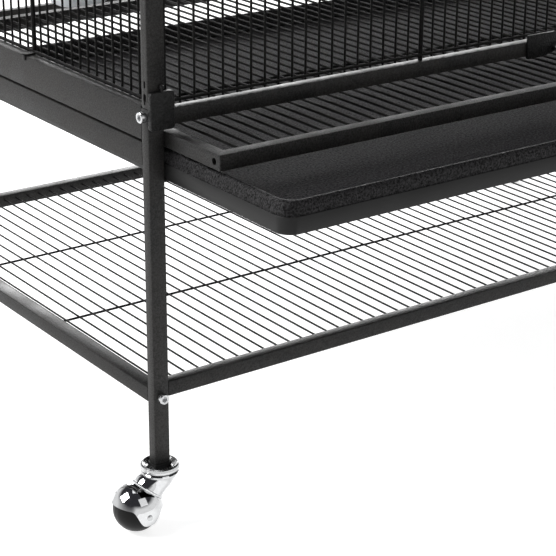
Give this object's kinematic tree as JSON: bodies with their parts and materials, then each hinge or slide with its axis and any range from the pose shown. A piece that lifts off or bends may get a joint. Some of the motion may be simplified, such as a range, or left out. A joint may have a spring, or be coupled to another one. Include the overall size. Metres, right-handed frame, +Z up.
{
  "type": "bird cage on stand",
  "caption": "Wire bird cage on a wheeled tube stand, with a storage shelf, slide-out grate and tray, hinged doors, feeder cups and ball casters.",
  "frame": {"origin": "bottom centre of the whole box at rest, with the tray part-way out", "axes": "+X to the right along the front, +Y from the front to the rear, +Z up"},
  "size_m": [0.8876, 0.6518, 1.346],
  "materials": {
    "black_tube": "textured powder coat",
    "black_sheet": "textured powder coat",
    "black_wire": "satin powder coat",
    "chrome": "polished",
    "black_ball": "satin",
    "black_plastic": "matte",
    "black_tray": "grained",
    "white_plastic": "translucent"
  },
  "bodies": {
    "frame": {"leg_front_left": "black_tube", "corner_post_front_left": "black_tube", "caster_cup_front_left": "chrome", "leg_front_right": "black_tube", "corner_post_front_right": "black_tube", "caster_cup_front_right": "chrome", "leg_rear_left": "black_tube", "corner_post_rear_left": "black_tube", "caster_cup_rear_left": "chrome", "leg_rear_right": "black_tube", "corner_post_rear_right": "black_tube", "caster_cup_rear_right": "chrome", "shelf_rail_front": "black_tube", "shelf_rail_rear": "black_tube", "shelf_rail_left": "black_tube", "shelf_rail_right": "black_tube", "shelf_grille": "black_wire", "tray_rail_left": "black_tube", "tray_rail_right": "black_tube", "tray_rail_rear": "black_tube", "floor_rail_left": "black_tube", "floor_rail_right": "black_tube", "floor_rail_front": "black_tube", "floor_rail_rear": "black_tube", "tray_runners": "black_tube", "grate_runners": "black_tube", "corner_brackets": "black_tube", "panel_clips": "black_sheet", "socket_screws": "chrome", "rail_plugs": "black_plastic", "post_caps": "black_plastic", "front_grille": "black_wire", "side_grille_left": "black_wire", "side_grille_right": "black_wire", "rear_grille": "black_wire", "roof_grille": "black_wire", "top_rails_across": "black_tube", "top_rails_side": "black_tube"},
    "tray": {"tray": "black_tray"},
    "grate": {"grate_frame": "black_tube", "grate_wires": "black_wire"},
    "grate_latch": {"grate_latch": "black_sheet"},
    "front_door": {"front_door": "black_wire"},
    "door_latch": {"door_latch": "black_wire"},
    "feeder_door_left": {"feeder_door_left": "black_wire"},
    "feeder_door_right": {"feeder_door_right": "black_wire"},
    "feeder_cup_left": {"feeder_cup_left": "white_plastic"},
    "feeder_cup_right": {"feeder_cup_right": "white_plastic"},
    "caster_front_left": {"caster_hood_front_left": "chrome", "caster_axle_front_left": "chrome"},
    "ball_front_left": {"caster_ball_front_left": "black_ball"},
    "caster_front_right": {"caster_hood_front_right": "chrome", "caster_axle_front_right": "chrome"},
    "ball_front_right": {"caster_ball_front_right": "black_ball"},
    "caster_rear_left": {"caster_hood_rear_left": "chrome", "caster_axle_rear_left": "chrome"},
    "ball_rear_left": {"caster_ball_rear_left": "black_ball"},
    "caster_rear_right": {"caster_hood_rear_right": "chrome", "caster_axle_rear_right": "chrome"},
    "ball_rear_right": {"caster_ball_rear_right": "black_ball"}
  },
  "joints": [
    {"name": "tray_slide", "type": "slide", "parent": "frame", "child": "tray", "axis": [0, -1, 0], "range_m": [-0.134, 0.22]},
    {"name": "grate_slide", "type": "slide", "parent": "frame", "child": "grate", "axis": [0, -1, 0], "range_m": [-0.072, 0.26]},
    {"name": "grate_latch_swing", "type": "hinge", "parent": "frame", "child": "grate_latch", "pos_m": [0, -0.17655, 0.3338], "axis": [0, 1, 0], "range_deg": [-3, 90]},
    {"name": "front_door_hinge", "type": "hinge", "parent": "frame", "child": "front_door", "pos_m": [-0.1446, -0.17005, 0.6938], "axis": [0, 0, -1], "range_deg": [0, 110]},
    {"name": "door_latch_slide", "type": "slide", "parent": "front_door", "child": "door_latch", "axis": [1, 0, 0], "range_m": [0, 0.006]},
    {"name": "feeder_door_left_hinge", "type": "hinge", "parent": "frame", "child": "feeder_door_left", "pos_m": [-0.3956, 0.01565, 0.4488], "axis": [0, 0, -1], "range_deg": [0, 110]},
    {"name": "feeder_cup_left_lift", "type": "slide", "parent": "frame", "child": "feeder_cup_left", "axis": [0, 0, 1], "range_m": [0, 0.012]},
    {"name": "feeder_door_right_hinge", "type": "hinge", "parent": "frame", "child": "feeder_door_right", "pos_m": [0.3956, 0.01565, 0.4488], "axis": [0, 0, 1], "range_deg": [0, 110]},
    {"name": "feeder_cup_right_lift", "type": "slide", "parent": "frame", "child": "feeder_cup_right", "axis": [0, 0, 1], "range_m": [0, 0.012]},
    {"name": "swivel_front_left", "type": "hinge", "parent": "frame", "child": "caster_front_left", "pos_m": [-0.3997, -0.17025, 0.045], "axis": [0, 0, 1], "continuous": true},
    {"name": "ball_front_left_spin", "type": "hinge", "parent": "caster_front_left", "child": "ball_front_left", "pos_m": [-0.4222, -0.17025, 0.0187], "axis": [0, 1, 0], "continuous": true},
    {"name": "swivel_front_right", "type": "hinge", "parent": "frame", "child": "caster_front_right", "pos_m": [0.3997, -0.17025, 0.045], "axis": [0, 0, 1], "continuous": true},
    {"name": "ball_front_right_spin", "type": "hinge", "parent": "caster_front_right", "child": "ball_front_right", "pos_m": [0.4222, -0.17025, 0.0187], "axis": [0, 1, 0], "continuous": true},
    {"name": "swivel_rear_left", "type": "hinge", "parent": "frame", "child": "caster_rear_left", "pos_m": [-0.3997, 0.30315, 0.045], "axis": [0, 0, 1], "continuous": true},
    {"name": "ball_rear_left_spin", "type": "hinge", "parent": "caster_rear_left", "child": "ball_rear_left", "pos_m": [-0.4222, 0.30315, 0.0187], "axis": [0, 1, 0], "continuous": true},
    {"name": "swivel_rear_right", "type": "hinge", "parent": "frame", "child": "caster_rear_right", "pos_m": [0.3997, 0.30315, 0.045], "axis": [0, 0, 1], "continuous": true},
    {"name": "ball_rear_right_spin", "type": "hinge", "parent": "caster_rear_right", "child": "ball_rear_right", "pos_m": [0.4222, 0.30315, 0.0187], "axis": [0, 1, 0], "continuous": true}
  ]
}
